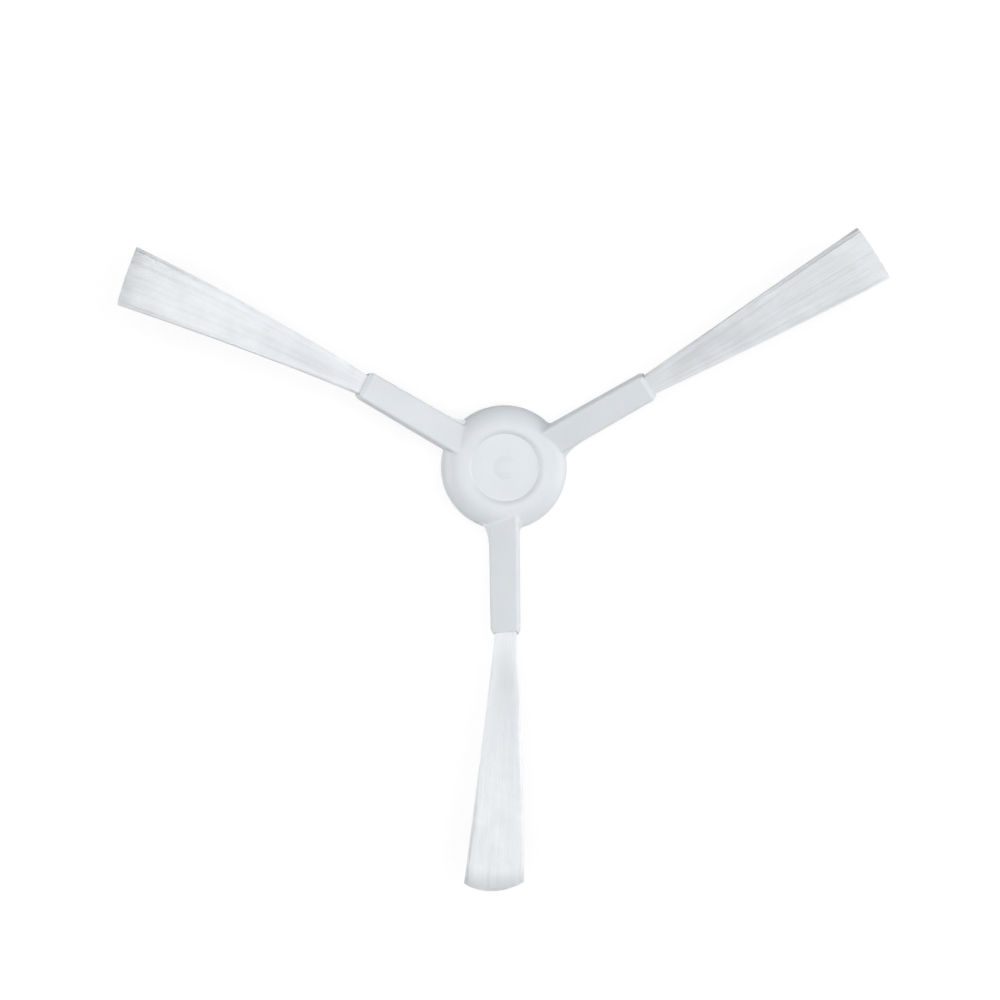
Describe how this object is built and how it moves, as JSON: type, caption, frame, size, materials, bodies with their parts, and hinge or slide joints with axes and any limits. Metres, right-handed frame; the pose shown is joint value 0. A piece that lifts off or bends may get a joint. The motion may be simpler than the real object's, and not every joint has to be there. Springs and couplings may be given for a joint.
{
  "type": "robot vacuum side brush",
  "caption": "Side brush of a robot vacuum: domed hub with a square drive socket and drooping, pitched arms that each hold a fanned tuft of bristles.",
  "frame": {"origin": "on the hub's axis, in the plane of the hub's rim, at the mouth of the drive socket", "axes": "+Z along the hub's axis towards the side that faces the floor in use, so the dome is up; one tuft points along -Y"},
  "size_m": [0.1516, 0.1303, 0.0306],
  "materials": {
    "white_plastic": "fine satin, as moulded",
    "white_bristle": "drawn nylon filament, slightly translucent",
    "anchor_wire": "bright flat wire"
  },
  "bodies": {
    "root": {"hub_and_arms": "white_plastic", "bristle_tuft_1": "white_bristle", "bristle_tuft_2": "white_bristle", "bristle_tuft_3": "white_bristle", "tuft_anchor_1": "anchor_wire", "tuft_anchor_2": "anchor_wire", "tuft_anchor_3": "anchor_wire"}
  },
  "joints": []
}
